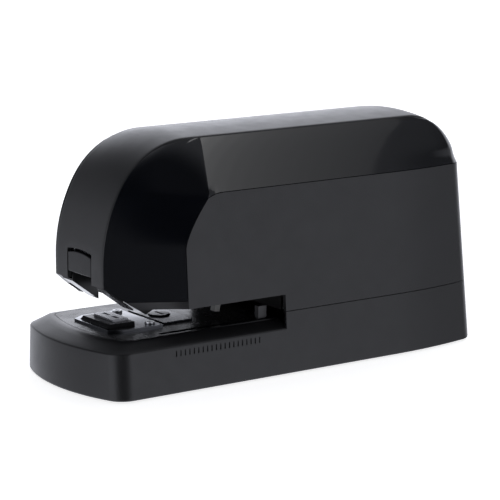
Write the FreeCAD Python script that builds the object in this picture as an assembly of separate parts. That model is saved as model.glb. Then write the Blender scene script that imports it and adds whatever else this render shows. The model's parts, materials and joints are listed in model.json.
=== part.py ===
import FreeCAD, Part
import math
import os

# Electric stapler. X is its width, Y its length with the stapling end at -Y, Z is up.
# The origin is on the table under the centre of the footprint. Sizes are in millimetres.

# ---- driving dimensions -------------------------------------------------------------
LENGTH = 224.0
HALF_WIDTH = 43.4            # at the table
DRAFT = 0.0647               # sides and back lean in, mm per mm of height
FOOT_HEIGHT = 0.8
WALL = 2.5
GAP = 0.25                   # parting lines between outer panels
BASE_EDGE_Z = 22.7           # outer top edge of the base in front
DECK_Z = 26.8                # paper table
DECK_HALF_WIDTH = 34.5
PARTING_Z = 30.7             # base meets the upper housing
THROAT_TOP_Z = 39.0          # underside of the upper housing over the paper slot
THROAT_END_Y = -9.5          # paper stops here
CAP_HALF_WIDTH = 21.6        # matte spine over the nose and the top
CAP_TOP_Z = 115.1
CAP_CROWN = 1.9
NOSE_FRONT_Y = -98.1
NOSE_STRAIGHT_Z = 58.0
NOSE_LOW_Z = 49.1
NOSE_RADIUS = 72.0
NOSE_TURN = math.radians(30)
REAR_TOP_RADIUS = 26.0
STRIP_Z = 91.0               # lower edge of the glossy shoulder strip
MOUTH_HALF_WIDTH = 10.9      # slot in the nose for the staple head

# staple head and its drive
DRIVER_DROP = 30.0
HEAD_LOW_Z = 52.5
STAPLE_Y = -81.3             # staples leave the head here
LEVER_PIVOT = (34.0, 72.0)
LEVER_REACH = LEVER_PIVOT[0] - STAPLE_Y
LEVER_SWING = DRIVER_DROP / LEVER_REACH
LEVER_TILT = LEVER_SWING / 2
CAM_TURN = math.radians(170)
FOLLOWER_REACH = 48.0
FOLLOWER_RADIUS = 4.0
CAM_REST = 11.0              # cam centre to follower centre at rest
MODULE = 0.8
PINION_TEETH = 12
WHEEL_TEETH = 48
GEAR_CENTRES = MODULE * (PINION_TEETH + WHEEL_TEETH) / 2
FRAME_X = 11.5               # inner face of the frame plates
FRAME_T = 1.6
OUTER_PLATE_X = 26.0
MOTOR_RADIUS = 13.8
AXLE_RADIUS = 1.5
RUNNING = 0.05               # radial clearance of axles in their holes

FRONT_Y = -LENGTH / 2
BACK_Y = LENGTH / 2


# ---- building blocks ----------------------------------------------------------------
def vec(x, y, z):
    return FreeCAD.Vector(x, y, z)


def box(x0, x1, y0, y1, z0, z1):
    return Part.makeBox(x1 - x0, y1 - y0, z1 - z0, vec(x0, y0, z0))


def rod_x(radius, x0, x1, y, z):
    return Part.makeCylinder(radius, x1 - x0, vec(x0, y, z), vec(1, 0, 0))


def rod_y(radius, y0, y1, x, z):
    return Part.makeCylinder(radius, y1 - y0, vec(x, y0, z), vec(0, 1, 0))


def rod_z(radius, z0, z1, x, y):
    return Part.makeCylinder(radius, z1 - z0, vec(x, y, z0), vec(0, 0, 1))


def prism_x(outline, x0, x1):
    """Outline of (y, z) corners, run along X."""
    corners = [vec(x0, y, z) for y, z in outline]
    face = Part.Face(Part.makePolygon(corners + corners[:1]))
    return face.extrude(vec(x1 - x0, 0, 0))


def prism_z(outline, z0, z1):
    """Outline of (x, y) corners, run upwards."""
    corners = [vec(x, y, z0) for x, y in outline]
    face = Part.Face(Part.makePolygon(corners + corners[:1]))
    return face.extrude(vec(0, 0, z1 - z0))


def join(shapes):
    return shapes[0].multiFuse(shapes[1:]).removeSplitter()


def group(shapes):
    return Part.makeCompound(shapes)


def mirrored(shape):
    return shape.mirror(vec(0, 0, 0), vec(1, 0, 0))


def both_sides(shape):
    return [shape, mirrored(shape)]


def save(name, shape):
    shape.exportStep("parts/" + name + ".step")


def coil_z(coil_radius, wire_radius, x, y, z0, z1, turns):
    """Compression or tension spring standing on Z."""
    pitch = (z1 - z0 - 2 * wire_radius) / turns
    path = Part.makeHelix(pitch, pitch * turns, coil_radius)
    path.translate(vec(x, y, z0 + wire_radius))
    start = vec(x + coil_radius, y, z0 + wire_radius)
    section = Part.Wire(Part.makeCircle(wire_radius, start, vec(0, 1, 0)))
    return Part.Wire(path.Edges).makePipeShell([section], True, True)


# ---- outer form of the base ---------------------------------------------------------
BOW_RADIUS = 100.6           # front edge of the base
FRONT_CORNER = 10.4
REAR_CORNER = 10.0
TAPER_Y = 58.0               # behind this the sides curve gently inwards
TAPER_RADIUS = 221.0


def base_plan(z, inset):
    """Outline of the base at height z: bowed front, straight sides, rounded back."""
    half = HALF_WIDTH - DRAFT * z - inset
    front = FRONT_Y + 0.026 * z + inset
    back = BACK_Y - DRAFT * z - inset
    bow = BOW_RADIUS - inset
    nose = max(FRONT_CORNER - inset, 1.0)
    tail = max(REAR_CORNER - inset, 1.0)

    bow_y = front + bow
    nose_x = half - nose
    nose_y = bow_y - math.sqrt((bow - nose) ** 2 - nose_x ** 2)
    lean = math.atan2(bow_y - nose_y, nose_x)
    end_y = back - 0.84 * tail
    slope = math.asin((end_y - TAPER_Y) / TAPER_RADIUS)
    end_x = half - TAPER_RADIUS * (1 - math.cos(slope))
    tail_x = end_x - tail * math.cos(slope)
    tail_y = end_y - tail * math.sin(slope)
    last = math.radians(86)

    def on(x, y, radius, angle):
        return (x + radius * math.cos(angle), y + radius * math.sin(angle))
    right = [
        on(0, bow_y, bow, -lean),
        on(nose_x, nose_y, nose, -lean / 2),
        (half, nose_y),
        (half, TAPER_Y),
        on(half - TAPER_RADIUS, TAPER_Y, TAPER_RADIUS, slope / 2),
        (end_x, end_y),
        on(tail_x, tail_y, tail, (slope + last) / 2),
        on(tail_x, tail_y, tail, last),
    ]
    right = [vec(x, y, z) for x, y in right]
    left = [vec(-point.x, point.y, z) for point in right]
    edges = [
        Part.Arc(left[0], vec(0, front, z), right[0]),
        Part.Arc(right[0], right[1], right[2]),
        Part.LineSegment(right[2], right[3]),
        Part.Arc(right[3], right[4], right[5]),
        Part.Arc(right[5], right[6], right[7]),
        Part.Arc(right[7], vec(0, back, z), left[7]),
        Part.Arc(left[7], left[6], left[5]),
        Part.Arc(left[5], left[4], left[3]),
        Part.LineSegment(left[3], left[2]),
        Part.Arc(left[2], left[1], left[0]),
    ]
    return Part.Wire([edge.toShape() for edge in edges])


def base_block(z0, z1, inset):
    return Part.makeLoft([base_plan(z0, inset), base_plan(z1, inset)], True, True)


DECK_FRONT_Y = -99.0


def deck_block(z0, z1, inset):
    """Raised paper table: bowed front, straight sides back to the throat."""
    half = DECK_HALF_WIDTH - inset
    front = DECK_FRONT_Y + inset
    ends = THROAT_END_Y - 0.2
    outline = [
        Part.Arc(vec(-half + 6, front + 4.4, z0), vec(0, front, z0), vec(half - 6, front + 4.4, z0)),
        Part.Arc(vec(half - 6, front + 4.4, z0), vec(half - 1.5, front + 7, z0), vec(half, front + 12, z0)),
        Part.LineSegment(vec(half, front + 12, z0), vec(half, ends, z0)),
        Part.LineSegment(vec(half, ends, z0), vec(-half, ends, z0)),
        Part.LineSegment(vec(-half, ends, z0), vec(-half, front + 12, z0)),
        Part.Arc(vec(-half, front + 12, z0), vec(1.5 - half, front + 7, z0), vec(6 - half, front + 4.4, z0)),
    ]
    face = Part.Face(Part.Wire([edge.toShape() for edge in outline]))
    return face.extrude(vec(0, 0, z1 - z0))


BATTERY_ROWS = 6
BATTERY_PITCH = 14.8
BATTERY_RADIUS = 7.1
BATTERY_Y = 6.0              # first cell
BATTERY_Z = 11.2
BAY_Y0 = BATTERY_Y - 8.6
BAY_Y1 = BATTERY_Y + BATTERY_PITCH * (BATTERY_ROWS - 1) + 8.6
BAY_HALF = 27.6
FLOOR_T = 2.0
FLOOR_Z0 = FOOT_HEIGHT
FLOOR_Z1 = FLOOR_Z0 + FLOOR_T
REAR_BOSSES = [(-34.6, -1.0), (34.6, -1.0), (-33.2, 88.0), (33.2, 88.0)]
FRONT_BOSSES = [(-36.2, -82.0), (36.2, -82.0)]
BOSS_RADIUS = 3.2
CHASSIS_Z = PARTING_Z - 0.3
SLIDER_Y0 = -73.8            # slot that the depth guide runs in
SLIDER_Y1 = -14.2
SLIDER_X = 31.0


DC_X = 14.0
DC_Z = 14.0


def ribbed_boss(x, y, top):
    """Screw boss joined to the nearest side wall by a rib."""
    outwards = box(x, 60, y - 0.8, y + 0.8, FLOOR_Z1, top)
    if x < 0:
        outwards = box(-60, x, y - 0.8, y + 0.8, FLOOR_Z1, top)
    rib = outwards.common(base_block(FLOOR_Z0, PARTING_Z, WALL / 2))
    return rod_z(BOSS_RADIUS, FLOOR_Z1, top, x, y).fuse(rib)


def base_shell():
    """Outer tub of the base: drafted walls and the sloping rim round the paper table."""
    ahead = box(-60, 60, -130, THROAT_END_Y, -1, 60)
    behind = box(-60, 60, THROAT_END_Y, 130, -1, 60)
    rim = base_block(FLOOR_Z0, BASE_EDGE_Z, 0)
    crown = Part.makeLoft([base_plan(BASE_EDGE_Z, 0.0), base_plan(DECK_Z + 0.2, 9.0)], True, True)
    front = rim.fuse(crown).common(box(-60, 60, -130, THROAT_END_Y, 0, DECK_Z))
    tub = base_block(FLOOR_Z0, PARTING_Z, 0).common(behind)
    body = tub.fuse(front)
    body = body.cut(base_block(FLOOR_Z0 - 0.1, BASE_EDGE_Z - WALL, WALL).common(ahead))
    body = body.cut(base_block(FLOOR_Z0 - 0.1, PARTING_Z + 0.1, WALL).common(
        box(-60, 60, THROAT_END_Y + WALL, 130, -1, 60)))
    body = body.cut(box(-36, 36, THROAT_END_Y - 1, THROAT_END_Y + 4, 0, 12))
    body = body.cut(deck_block(DECK_Z - 2.3, DECK_Z + 5, -0.3))
    body = body.cut(deck_block(BASE_EDGE_Z - WALL - 1, DECK_Z, 1.8))
    body = body.cut(rod_y(4.2, 95, 120, DC_X, DC_Z))
    for x, y in REAR_BOSSES:
        body = body.fuse(ribbed_boss(x, y, CHASSIS_Z))
        body = body.cut(rod_z(1.25, CHASSIS_Z - 8, CHASSIS_Z + 1, x, y))
    for x, y in FRONT_BOSSES:
        body = body.fuse(ribbed_boss(x, y, BASE_EDGE_Z - WALL + 0.5))
    for x, y in REAR_BOSSES + FRONT_BOSSES:
        body = body.cut(rod_z(1.25, 0, 12, x, y))
    return body


def scale_marks(body):
    """Ruler under the rim on the +X side: a mark for each step of stapling depth."""
    for step in range(20):
        y = -72.0 + 2.45 * step
        side = HALF_WIDTH - DRAFT * 19.4
        body = body.cut(box(side - 0.35, side + 1, y - 0.3, y + 0.3, 18.0, 20.8))
    return body


def bottom_cover():
    plate = base_block(FLOOR_Z0, FLOOR_Z1, WALL + GAP)
    plate = plate.cut(box(-BAY_HALF - 0.4, BAY_HALF + 0.4, BAY_Y0 - 0.4, BAY_Y1 + 0.4, 0, 5))
    for notch in both_sides(box(35.7, 60, THROAT_END_Y - GAP, THROAT_END_Y + WALL + GAP, 0, 5)):
        plate = plate.cut(notch)
    for x, y in REAR_BOSSES + FRONT_BOSSES:
        plate = plate.cut(rod_z(1.4, 0, 5, x, y))
        plate = plate.cut(rod_z(2.6, 0, FLOOR_Z0 + 1.2, x, y))
    for x, y in FOOT_PLACES:
        plate = plate.cut(rod_z(FOOT_RADIUS, 0, FLOOR_Z0 + 0.8, x, y))
    return plate


FOOT_RADIUS = 6.0
FOOT_PLACES = [(x, y) for x in (-29.0, 29.0) for y in (-92.0, 97.5)]


def rubber_feet():
    return group([rod_z(FOOT_RADIUS, 0, FLOOR_Z0 + 0.8, x, y) for x, y in FOOT_PLACES])


SCREW_HEAD = 1.1
SCREW_LENGTH = 6.0


def pan_screw(x, y, z, direction):
    """Small cross-recess screw; z is the face its head bears on, direction its point."""
    head = Part.makeCylinder(2.4, SCREW_HEAD, vec(x, y, z - SCREW_HEAD * direction), vec(0, 0, direction))
    shank = Part.makeCylinder(1.2, SCREW_LENGTH, vec(x, y, z), vec(0, 0, direction))
    top = z - SCREW_HEAD * direction
    low = min(top, top + 0.6 * direction)
    cross = box(x - 1.5, x + 1.5, y - 0.3, y + 0.3, low, low + 0.6)
    cross = cross.fuse(box(x - 0.3, x + 0.3, y - 1.5, y + 1.5, low, low + 0.6))
    return head.fuse(shank).cut(cross)


def pan_head_screws():
    """Six under the base, four in the chassis plate and two beside the anvil."""
    screws = [pan_screw(x, y, FLOOR_Z0 + 1.2, 1) for x, y in REAR_BOSSES + FRONT_BOSSES]
    screws += [pan_screw(x, y, CHASSIS_Z + 1.5, -1) for x, y in REAR_BOSSES]
    screws += [pan_screw(x, y, DECK_Z + 1.0, -1) for x, y in DECK_SCREWS]
    return group(screws)


def battery_door():
    plate = box(-BAY_HALF, BAY_HALF, BAY_Y0, BAY_Y1, FLOOR_Z0, FLOOR_Z1 - 0.2)
    plate = plate.fuse(rod_x(0.35, -20, 20, BAY_Y0, FLOOR_Z0))
    for x in (-16.0, 16.0):
        plate = plate.fuse(box(x - 4, x + 4, BAY_Y0 - 2.6, BAY_Y0 + 2, FLOOR_Z1 + 0.3, FLOOR_Z1 + 1.5))
        plate = plate.fuse(box(x - 4, x + 4, BAY_Y0 + 0.4, BAY_Y0 + 2, FLOOR_Z1 - 0.4, FLOOR_Z1 + 1.5))
    for step in range(5):
        y = BAY_Y1 - 5 - 2.4 * step
        plate = plate.cut(box(-8, 8, y - 0.5, y + 0.5, FLOOR_Z0 - 0.1, FLOOR_Z0 + 0.5))
    return plate


def battery_tray():
    """Upper wall and ends of the battery bay, hung inside the base."""
    top = 21.5
    outer = box(-BAY_HALF - 1.6, BAY_HALF + 1.6, BAY_Y0 - 1.2, BAY_Y1 + 1.2, FLOOR_Z1 + 4.0, top)
    inner = box(-BAY_HALF, BAY_HALF, BAY_Y0, BAY_Y1, FLOOR_Z1, top - 1.6)
    return outer.cut(inner)


def batteries():
    cells = []
    for row in range(BATTERY_ROWS):
        y = BATTERY_Y + BATTERY_PITCH * row
        body = rod_x(BATTERY_RADIUS, -24.6, 24.0, y, BATTERY_Z)
        cells.append(body.fuse(rod_x(2.6, 24.0, 25.3, y, BATTERY_Z)))
    return group(cells)


def battery_contacts():
    plates = []
    for row in range(BATTERY_ROWS):
        y = BATTERY_Y + BATTERY_PITCH * row
        plates.append(box(25.4, 25.8, y - 5, y + 5, 7, 18))
        plates.append(box(-25.2, -24.8, y - 5, y + 5, 7, 18))
    return group(plates)


# ---- paper table --------------------------------------------------------------------
ANVIL_TOP_Z = 30.6
DECK_SCREWS = [(-14.5, -69.0), (14.5, -69.0)]
BLOCK_HALF = 12.6
BLOCK_Y0 = -90.6
BLOCK_Y1 = -75.8


def anvil_window(z0, z1):
    return box(-BLOCK_HALF - 0.2, BLOCK_HALF + 0.2, BLOCK_Y0 - 0.2, BLOCK_Y1 + 0.2, z0, z1)


def paper_deck():
    deck = deck_block(DECK_Z - 2.2, DECK_Z, 0).cut(anvil_window(20, 40))
    for x, y in DECK_SCREWS:
        deck = deck.cut(rod_z(1.25, 20, 40, x, y))
    return deck.cut(box(SLIDER_X - 1.3, SLIDER_X + 1.3, SLIDER_Y0, SLIDER_Y1, 20, 40))


def anvil_plate():
    """Bright sheet metal under the head, with a window for the anvil block."""
    outline = [(-19, -86), (-15, -92.4), (15, -92.4), (19, -86), (19, -64.5), (-19, -64.5)]
    plate = prism_z(outline, DECK_Z, DECK_Z + 1.0).cut(anvil_window(20, 40))
    for x, y in DECK_SCREWS:
        plate = plate.cut(rod_z(1.3, 20, 40, x, y))
    return plate


def anvil_block():
    block = box(-BLOCK_HALF, BLOCK_HALF, BLOCK_Y0, BLOCK_Y1, 15.5, 29.4)
    front = [(BLOCK_Y0 - 1, 27.0), (BLOCK_Y0 + 2.4, 30.4), (BLOCK_Y0 - 1, 30.4)]
    return block.cut(prism_x(front, -20, 20)).cut(box(-8.6, 8.6, -85.6, -77.0, 24, 40))


def clinch_anvil():
    """Hard steel insert with the two grooves that fold the staple legs."""
    insert = box(-8.5, 8.5, -85.5, -77.1, 24.2, ANVIL_TOP_Z)
    for x in (-4.1, 4.1):
        groove = Part.makeCylinder(3.6, 1.6, vec(x, STAPLE_Y - 0.8, ANVIL_TOP_Z + 2.7), vec(0, 1, 0))
        insert = insert.cut(groove)
    return insert


def rear_deck_plate():
    plate = box(-16, 16, -62.0, -46, DECK_Z, DECK_Z + 0.8)
    return plate.cut(rod_z(5.4, 20, 40, 0, -54.5))


def deck_button():
    """Dark round cap in the plate behind the anvil, with a moulded slot."""
    cap = rod_z(5.0, DECK_Z, DECK_Z + 1.5, 0, -54.5)
    return cap.cut(box(-3.4, 3.4, -55.0, -54.0, DECK_Z + 0.9, DECK_Z + 2))


def depth_guide():
    """Slide on the rim: a small post that stops the paper at the chosen depth."""
    y = -17.0
    post = box(SLIDER_X - 1.5, SLIDER_X + 1.5, y - 2.4, y + 2.4, DECK_Z + 0.3, 33.0)
    neck = box(SLIDER_X - 0.9, SLIDER_X + 0.9, y - 2.2, y + 2.2, 17.5, DECK_Z + 0.3)
    keeper = box(SLIDER_X - 2.6, SLIDER_X + 2.6, y - 2.2, y + 2.2, 16.0, 17.6)
    return join([post, neck, keeper])


# ---- upper housing ------------------------------------------------------------------
NOSE_CENTRE = (NOSE_FRONT_Y + NOSE_RADIUS, NOSE_STRAIGHT_Z)
KNEE = (NOSE_CENTRE[0] - NOSE_RADIUS * math.cos(NOSE_TURN),
        NOSE_CENTRE[1] + NOSE_RADIUS * math.sin(NOSE_TURN))


def top_radius(rise):
    return (CAP_TOP_Z + rise - KNEE[1]) / (1 - math.sin(NOSE_TURN))


def nose_profile(inset, rise):
    """Side view of the spine: up the nose, over the top and down the back."""
    big = NOSE_RADIUS - inset
    top = CAP_TOP_Z + rise
    small = top_radius(rise)
    top_centre = (KNEE[0] + small * math.cos(NOSE_TURN), top - small)
    back_centre = (BACK_Y - DRAFT * 89 - REAR_TOP_RADIUS, top - REAR_TOP_RADIUS)
    low_z = PARTING_Z - 2

    def at(centre, radius, angle):
        return vec(0, centre[0] - radius * math.cos(angle), centre[1] + radius * math.sin(angle))

    def arc(centre, radius, start, end):
        return Part.Arc(*[at(centre, radius, angle) for angle in (start, (start + end) / 2, end)])
    half_turn = math.pi / 2
    front_low = vec(0, NOSE_FRONT_Y + inset, low_z)
    back_low = vec(0, BACK_Y - DRAFT * low_z - inset, low_z)
    nose = arc(NOSE_CENTRE, big, 0, NOSE_TURN)
    brow = arc(top_centre, small - inset, NOSE_TURN, half_turn)
    rear = arc(back_centre, REAR_TOP_RADIUS - inset, half_turn, math.pi - DRAFT)
    curves = [
        Part.LineSegment(front_low, nose.StartPoint),
        nose,
        brow,
        Part.LineSegment(brow.EndPoint, rear.StartPoint),
        rear,
        Part.LineSegment(rear.EndPoint, back_low),
        Part.LineSegment(back_low, front_low),
    ]
    return Part.Wire([curve.toShape() for curve in curves])


def spine_front(z):
    """Y of the spine's edge at height z."""
    if z <= NOSE_STRAIGHT_Z:
        return NOSE_FRONT_Y
    if z <= KNEE[1]:
        return NOSE_CENTRE[0] - math.sqrt(NOSE_RADIUS ** 2 - (z - NOSE_STRAIGHT_Z) ** 2)
    small = top_radius(0)
    rise = min(z, CAP_TOP_Z) - (CAP_TOP_Z - small)
    return KNEE[0] + small * math.cos(NOSE_TURN) - math.sqrt(small ** 2 - rise ** 2)


VERTEX = (-51.0, STRIP_Z - 2)        # where cheek, strip and side panel meet (y, z)
CREASE_TOP_Y = -44.7


def cheek_back(z):
    """Y where the cheek ends at height z: side panel below the vertex, crease above."""
    if z <= 67:
        return -64.3
    if z <= VERTEX[1]:
        share = (z - 67) / (VERTEX[1] - 67)
        return -64.3 + (VERTEX[0] + 64.3) * share ** 1.4
    share = (z - VERTEX[1]) / (CAP_TOP_Z - VERTEX[1])
    return VERTEX[0] + (CREASE_TOP_Y - VERTEX[0]) * share


def side_x(z):
    """Half width of the housing behind the cheeks."""
    if z <= STRIP_Z:
        return HALF_WIDTH - DRAFT * z
    shoulder = HALF_WIDTH - DRAFT * STRIP_Z
    share = (z - STRIP_Z) / (CAP_TOP_Z - STRIP_Z)
    return shoulder + (CAP_HALF_WIDTH - shoulder) * share


def housing_section(z, inset):
    """Plan of the upper housing at height z, open to the front inside the spine."""
    spine = CAP_HALF_WIDTH - inset * 0.6
    side = max(side_x(z) - inset, spine + 0.02)
    front = spine_front(z) + inset * 1.2
    cheek = max(cheek_back(z) + inset * 0.6, front + 1)
    tail = BACK_Y - DRAFT * z - inset
    right = [(spine, -130), (spine, front), (side, cheek), (side, TAPER_Y)]
    for inward, forward in ((1.1, 30.0), (4.3, 8.4), (6.9, 3.3)):
        right.append((max(side - inward, spine), tail - forward))
    right.append((min(side - 13.3, spine), tail - 0.3))
    left = [(-x, y) for x, y in reversed(right)]
    return Part.makePolygon([vec(x, y, z) for x, y in right + left + right[:1]])


def housing_form(inset):
    """Outer form of cheeks, strips and sides, without the crowned spine."""
    levels = [PARTING_Z - 4, 58, 67, 74, 82, VERTEX[1], STRIP_Z, 97, 103, 108, 112, CAP_TOP_Z]
    bands = []
    for low, high in zip(levels, levels[1:]):
        bands.append(Part.makeLoft([housing_section(low, inset), housing_section(high, inset)], True, True))
    form = join(bands)
    profile = nose_profile(inset, 0)
    profile.translate(vec(-60, 0, 0))
    return form.common(Part.Face(profile).extrude(vec(120, 0, 0)))


def spine_form(inset, half):
    """Crowned spine: side views at five stations across the width, lofted."""
    stations = []
    for step in range(-2, 3):
        share = step / 2
        wire = nose_profile(inset, CAP_CROWN * (1 - share ** 2))
        wire.translate(vec(half * share, 0, 0))
        stations.append(wire)
    return Part.makeLoft(stations, True, False)


NOSE_KNEE_Y = -81.3
NOSE_KNEE_Z = 36.6


def nose_underside():
    """Everything below the nose's slanted underside and the throat ceiling."""
    outline = [(-130, NOSE_LOW_Z), (NOSE_FRONT_Y, NOSE_LOW_Z), (NOSE_KNEE_Y, NOSE_KNEE_Z),
               (NOSE_KNEE_Y + 1.5, THROAT_TOP_Z), (THROAT_END_Y, THROAT_TOP_Z),
               (THROAT_END_Y, PARTING_Z + GAP), (130, PARTING_Z + GAP), (130, 0), (-130, 0)]
    return prism_x(outline, -60, 60)


def side_panel_area(grow):
    """Side view of the matte side panel, up to the strip and forward to the cheek."""
    points = [(THROAT_END_Y, 10.0), (THROAT_END_Y, THROAT_TOP_Z - 6)]
    points += [(-64.3 - grow, THROAT_TOP_Z - 6), (-64.3 - grow, 67.0)]
    for z in (71.0, 75.5, 80.0, 84.5):
        points.append((cheek_back(z) - grow, z))
    points += [(VERTEX[0] - grow, VERTEX[1] + grow), (VERTEX[0] + 7, STRIP_Z + grow)]
    points += [(130, STRIP_Z + grow), (130, 10.0)]
    return prism_x(points, 0, 60)


def upper_shells():
    """Cuts the hollow upper housing into cap, cheeks with strips, and side panels."""
    solid = housing_form(0)
    hollow = housing_form(WALL)
    shell = solid.cut(hollow).cut(nose_underside())
    right_half = shell.common(box(CAP_HALF_WIDTH + GAP / 2, 60, -130, 130, 0, 130))
    side = right_half.common(side_panel_area(0))
    gloss = right_half.cut(side_panel_area(GAP))
    cap = spine_form(0, CAP_HALF_WIDTH - GAP / 2).cut(spine_form(WALL, CAP_HALF_WIDTH + 3))
    cap = cap.cut(nose_underside())
    cap = cap.cut(box(-30, 30, 60, 130, 0, PARTING_Z + GAP))
    cap = cap.cut(box(-MOUTH_HALF_WIDTH, MOUTH_HALF_WIDTH, -130, -70, 30, DRAWER_FRONT_Z + 0.5))
    cap = cap.cut(rod_y(BUTTON_RADIUS + 0.5, 90, 130, 0, BUTTON_Z))
    cap = cap.cut(box(-6.8, 6.8, 90, 130, ROCKER_Z - 3.5, ROCKER_Z + 3.5))
    return cap, gloss, side


def arched_face(half, z0, z1, y):
    """Upright face across X with a slightly arched top edge."""
    shoulder = z1 - 1.2
    edges = [Part.Arc(vec(-half, y, shoulder), vec(0, y, z1), vec(half, y, shoulder)),
             Part.LineSegment(vec(half, y, shoulder), vec(half, y, z0)),
             Part.LineSegment(vec(half, y, z0), vec(-half, y, z0)),
             Part.LineSegment(vec(-half, y, z0), vec(-half, y, shoulder))]
    return Part.Face(Part.Wire([edge.toShape() for edge in edges]))


def biggest(shape):
    return max(shape.Solids, key=lambda solid: solid.Volume)


# ---- steel frame --------------------------------------------------------------------
CAM_Y = LEVER_PIVOT[0] - FOLLOWER_REACH * math.cos(LEVER_TILT)
CAM_Z = LEVER_PIVOT[1] + FOLLOWER_REACH * math.sin(LEVER_TILT) + CAM_REST
TRAIN_ANGLES = [math.radians(-22), math.radians(-35), math.radians(-38)]


def train_places():
    """Axes (y, z) of cam shaft, second wheel, first wheel and motor."""
    places = [(CAM_Y, CAM_Z)]
    for angle in TRAIN_ANGLES:
        y, z = places[-1]
        places.append((y + GEAR_CENTRES * math.cos(angle), z + GEAR_CENTRES * math.sin(angle)))
    return places


CAM_AXIS, SECOND_AXIS, FIRST_AXIS, MOTOR_AXIS = train_places()
CROSS_BARS = [(-79.0, 97.0), (-55.0, 94.0), (26.0, 100.0), (14.0, 44.0)]
PILLARS = [(-4.0, 60.0), (31.0, 94.0), (52.0, 72.0)]
BRACKET_X = 19.5


def plate_holes(plate, axes, x0, x1):
    for y, z in axes:
        plate = plate.cut(rod_x(AXLE_RADIUS + RUNNING, x0 - 1, x1 + 1, y, z))
    return plate


def frame_plate():
    """Right side plate of the steel frame, from the nose to the gear train."""
    outline = [(-93, 66), (-60, 66), (-44, 42), (THROAT_END_Y + 4, 42), (THROAT_END_Y + 4, 33.5),
               (26, 33.5), (26, 66), (41, 66), (41, 104), (-36, 110), (-70, 106), (-86, 92)]
    plate = prism_x(outline, FRAME_X, FRAME_X + FRAME_T)
    plate = plate.cut(rod_x(2.5 + RUNNING, 0, 40, *CAM_AXIS))
    plate = plate.cut(rod_x(2.0 + RUNNING, 0, 40, *LEVER_PIVOT))
    for y, z in CROSS_BARS:
        plate = plate.cut(rod_x(1.5, 0, 40, y, z))
    foot = box(FRAME_X, FRAME_X + 12, THROAT_END_Y + 4, 26, CHASSIS_Z + 1.5, CHASSIS_Z + 3.1)
    return plate.fuse(foot).removeSplitter()


def right_frame_plate():
    plate = plate_holes(frame_plate(), [SECOND_AXIS], 0, 40)
    for y, z in PILLARS[:2]:
        plate = plate.cut(rod_x(1.2, 0, 40, y, z))
    return plate


def outer_gear_plate():
    outline = [(-24, 92), (-10, 98), (35, 98), (56, 76), (56, 68), (34, 58), (14, 54), (-8, 54), (-24, 78)]
    plate = prism_x(outline, OUTER_PLATE_X, OUTER_PLATE_X + 1.5)
    plate = plate.cut(rod_x(2.5 + RUNNING, 0, 60, *CAM_AXIS))
    plate = plate_holes(plate, [SECOND_AXIS, FIRST_AXIS], 20, 40)
    for y, z in PILLARS:
        plate = plate.cut(rod_x(1.2, 0, 60, y, z))
    return plate


def motor_bracket():
    """Plate on the motor's face, bolted through a pillar to the outer gear plate."""
    y, z = MOTOR_AXIS
    x0 = BRACKET_X
    plate = box(x0, x0 + 1.0, y - 13, y + 13, z - 13, z + 24)
    plate = plate.cut(rod_x(5.1, 10, 30, y, z))
    plate = plate.cut(box(10, 30, y - 16, FIRST_AXIS[0] + 9, z + 5, z + 30))
    return plate.cut(rod_x(1.2, 10, 30, *PILLARS[2]))


def frame_spacers():
    """Turned bars between the two frame plates, and pillars that carry the gear plate."""
    spacers = []
    for y, z in CROSS_BARS:
        bar = rod_x(2.4, -FRAME_X, FRAME_X, y, z)
        spacers.append(bar.fuse(rod_x(1.5, -FRAME_X - FRAME_T, FRAME_X + FRAME_T, y, z)))
    starts = [(FRAME_X, FRAME_T), (FRAME_X, FRAME_T), (BRACKET_X, 1.0)]
    for (y, z), (start, thickness) in zip(PILLARS, starts):
        post = rod_x(2.5, start + thickness, OUTER_PLATE_X, y, z)
        spacers.append(post.fuse(rod_x(1.2, start, OUTER_PLATE_X + 1.5, y, z)))
    return group(spacers)


def chassis_plate():
    """Steel floor between the base and the upper housing."""
    plate = box(-38, 38, THROAT_END_Y + 3, 96, CHASSIS_Z, CHASSIS_Z + 1.5)
    plate = plate.cut(box(-12, 12, 30, 74, 20, 40))
    for x, y in REAR_BOSSES:
        plate = plate.cut(rod_z(1.3, 20, 40, x, y))
    return plate.common(base_block(FLOOR_Z0, 40, WALL + 0.6))


def throat_liner():
    """Ceiling over the paper slot with its opening for the head, and the slot's end wall."""
    z0 = THROAT_TOP_Z
    z1 = z0 + 1.8
    ceiling = housing_form(WALL + 0.3).common(box(-60, 60, NOSE_KNEE_Y + 2, THROAT_END_Y + 1.7, z0, z1))
    ceiling = ceiling.cut(box(-11.7, 11.7, -100, -36, 20, 60))
    trigger_y = TRIGGER_AXIS[0]
    ceiling = ceiling.cut(box(TRIGGER_X - 2.4, TRIGGER_X + 2.4, trigger_y - 5, trigger_y + 4, 20, 60))
    wall = box(-36.5, 36.5, THROAT_END_Y + 0.1, THROAT_END_Y + 1.7, PARTING_Z + 0.05, z0 + 1)
    return ceiling.fuse(wall).removeSplitter()


def head_guide():
    """Bent bright plate in one nose leg: upright web beside the head, slanted sole."""
    slope = (NOSE_LOW_Z - NOSE_KNEE_Z) / (NOSE_KNEE_Y - NOSE_FRONT_Y)
    front = NOSE_FRONT_Y + WALL + 0.3

    def sole(y):
        return NOSE_LOW_Z - slope * (y - NOSE_FRONT_Y)
    low = [(front, sole(front)), (NOSE_KNEE_Y, NOSE_KNEE_Z)]
    x0 = MOUTH_HALF_WIDTH + 0.05
    web = prism_x(low + [(NOSE_KNEE_Y, 64), (front, 64)], x0, x0 + 0.5)
    flange = prism_x(low + [(NOSE_KNEE_Y, NOSE_KNEE_Z + 1), (front, sole(front) + 1)], x0, 20.2)
    return web.fuse(flange).removeSplitter()


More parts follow.
